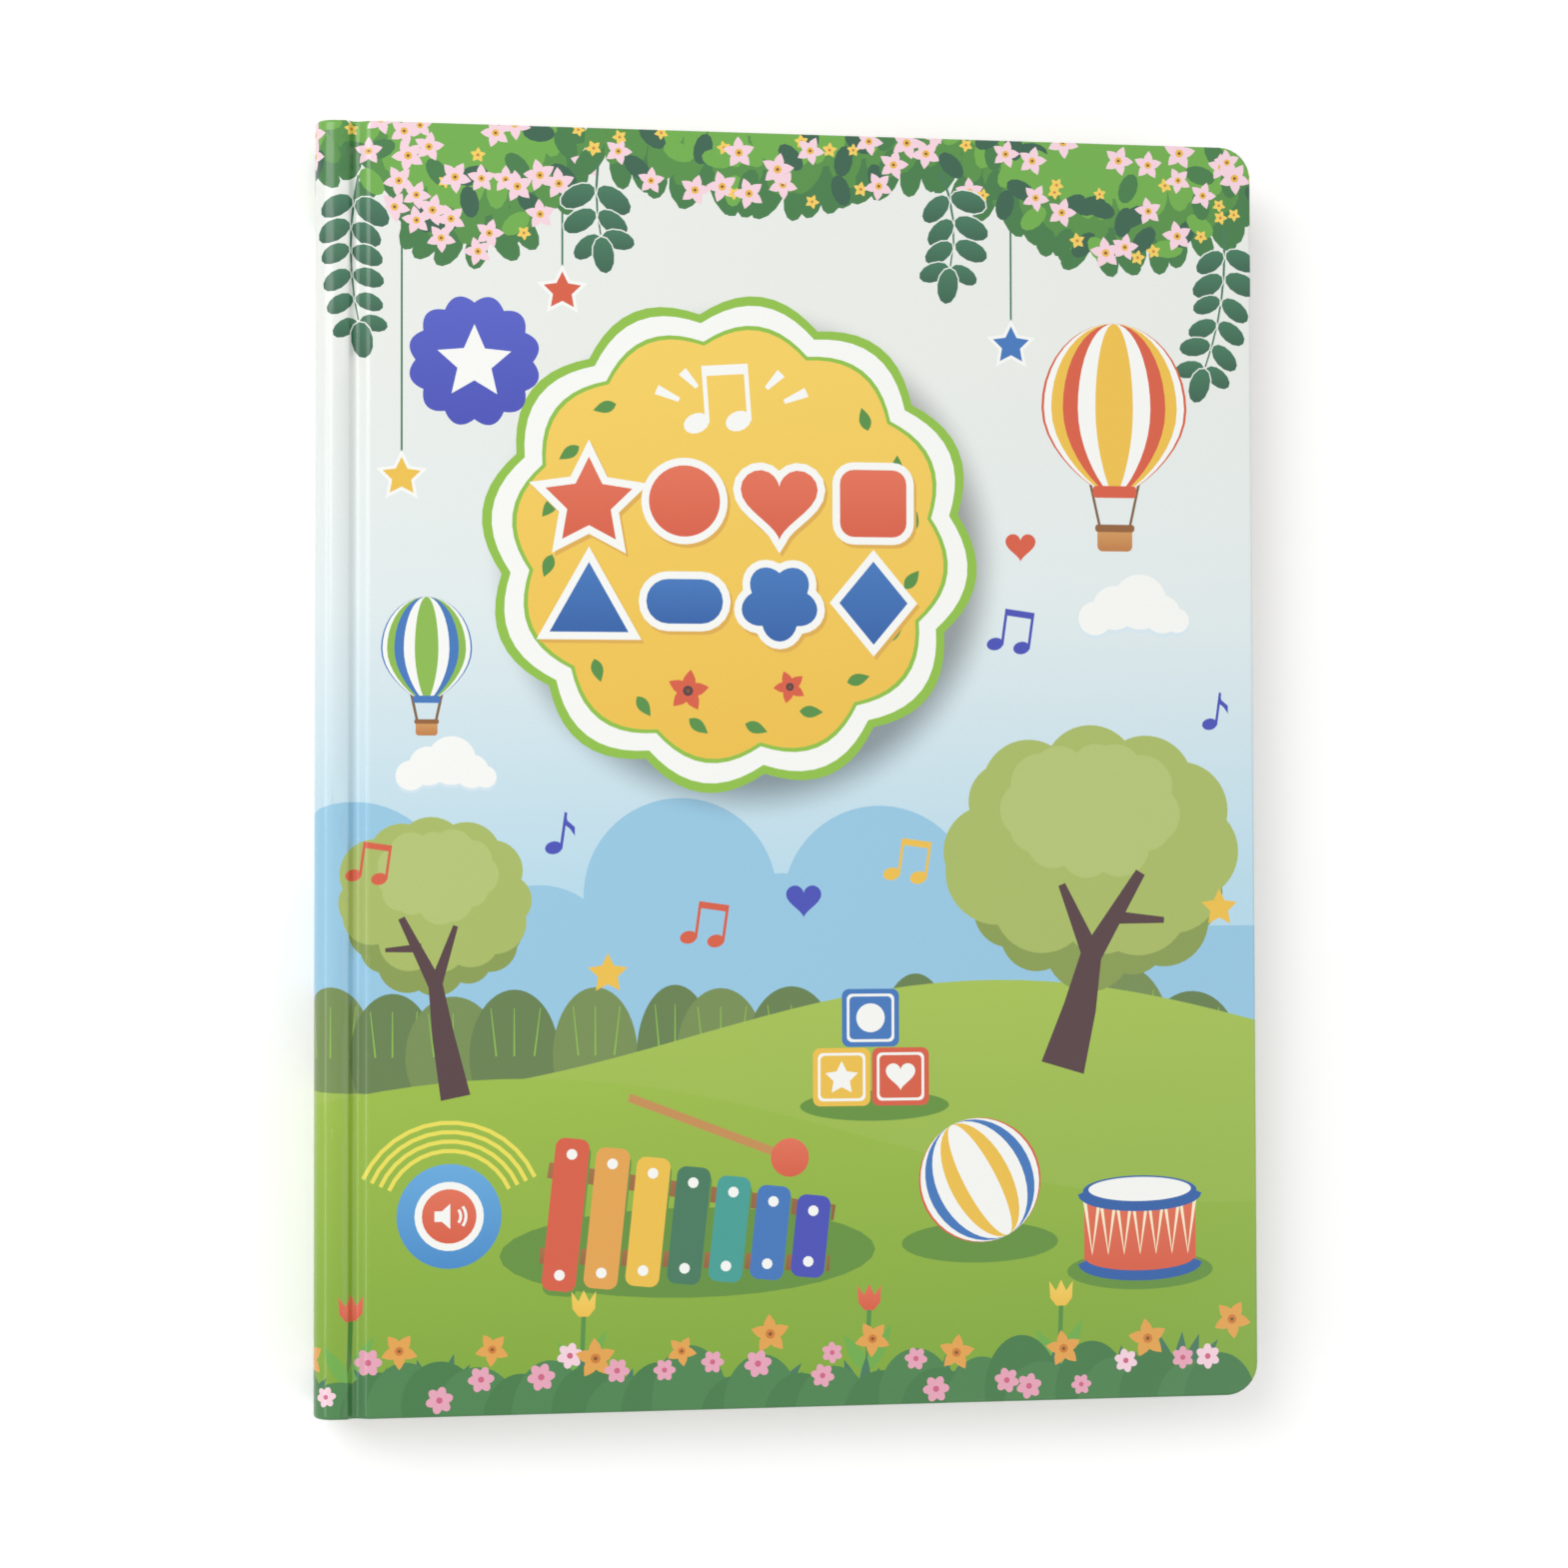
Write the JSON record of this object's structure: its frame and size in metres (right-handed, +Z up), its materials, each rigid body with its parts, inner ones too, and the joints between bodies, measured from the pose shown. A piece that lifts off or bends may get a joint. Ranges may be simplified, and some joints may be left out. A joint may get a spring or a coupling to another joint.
{
  "type": "children's sound book",
  "caption": "Flat hardcover picture book with card leaves, a hinged front cover and a sound module with speaker, cells and controls in its back.",
  "frame": {"origin": "under the middle of the closed book, on the surface it lies on", "axes": "+Z up through the front cover, +Y towards the head, spine at -X, fore-edge at +X"},
  "size_m": [0.213, 0.286, 0.021],
  "materials": {
    "covered_board": "printed paper over grey board under a gloss film",
    "card_leaves": "coated card leaves, cut edges bare",
    "grey_board": "laminated grey board, cut edges bare",
    "housing_plastic": "moulded ABS, fine texture",
    "control_plastic": "moulded ABS, black",
    "plated_steel": "zinc plated steel",
    "cell_steel": "nickel plated steel can",
    "contact_strip": "nickel plated strip",
    "circuit_laminate": "glass fibre laminate under solder mask",
    "chip_resin": "cured black resin",
    "cone_paper": "pressed paper cone",
    "magnet_ferrite": "ferrite",
    "lead_red": "PVC insulation",
    "lead_black": "PVC insulation",
    "membrane_film": "printed polyester film"
  },
  "bodies": {
    "book_base": {"case_spine": "covered_board", "back_cover": "covered_board", "page_block": "card_leaves", "spacer_board": "grey_board", "module_base": "housing_plastic", "module_lid": "housing_plastic", "battery_door": "housing_plastic", "battery_door_screw": "plated_steel", "lid_screw_1": "plated_steel", "lid_screw_2": "plated_steel", "lid_screw_3": "plated_steel", "lid_screw_4": "plated_steel", "button_cell_1": "cell_steel", "button_cell_2": "cell_steel", "button_cell_3": "cell_steel", "door_contact": "contact_strip", "minus_contact": "contact_strip", "bridge_contact": "contact_strip", "plus_contact": "contact_strip", "circuit_board": "circuit_laminate", "sound_chip": "chip_resin", "power_switch_body": "plated_steel", "volume_switch_body": "control_plastic", "speaker_frame": "plated_steel", "speaker_cone": "cone_paper", "speaker_magnet": "magnet_ferrite", "speaker_lead_red": "lead_red", "speaker_lead_black": "lead_black", "membrane_tail": "membrane_film"},
    "cover": {"front_cover": "covered_board"},
    "switch": {"power_switch_knob": "control_plastic"},
    "volume": {"volume_button": "control_plastic"}
  },
  "joints": [
    {"name": "front_cover_hinge", "type": "hinge", "parent": "book_base", "child": "cover", "pos_m": [-0.0977, 0, 0.021], "axis": [0, -1, 0], "range_deg": [0, 175]},
    {"name": "power_switch_slide", "type": "slide", "parent": "book_base", "child": "switch", "axis": [1, 0, 0], "range_m": [0, 0.0025]},
    {"name": "volume_button_press", "type": "slide", "parent": "book_base", "child": "volume", "axis": [0, 0, 1], "range_m": [0, 0.0004], "stiffness_N_per_m": 900, "springref_m": -0.0006}
  ]
}
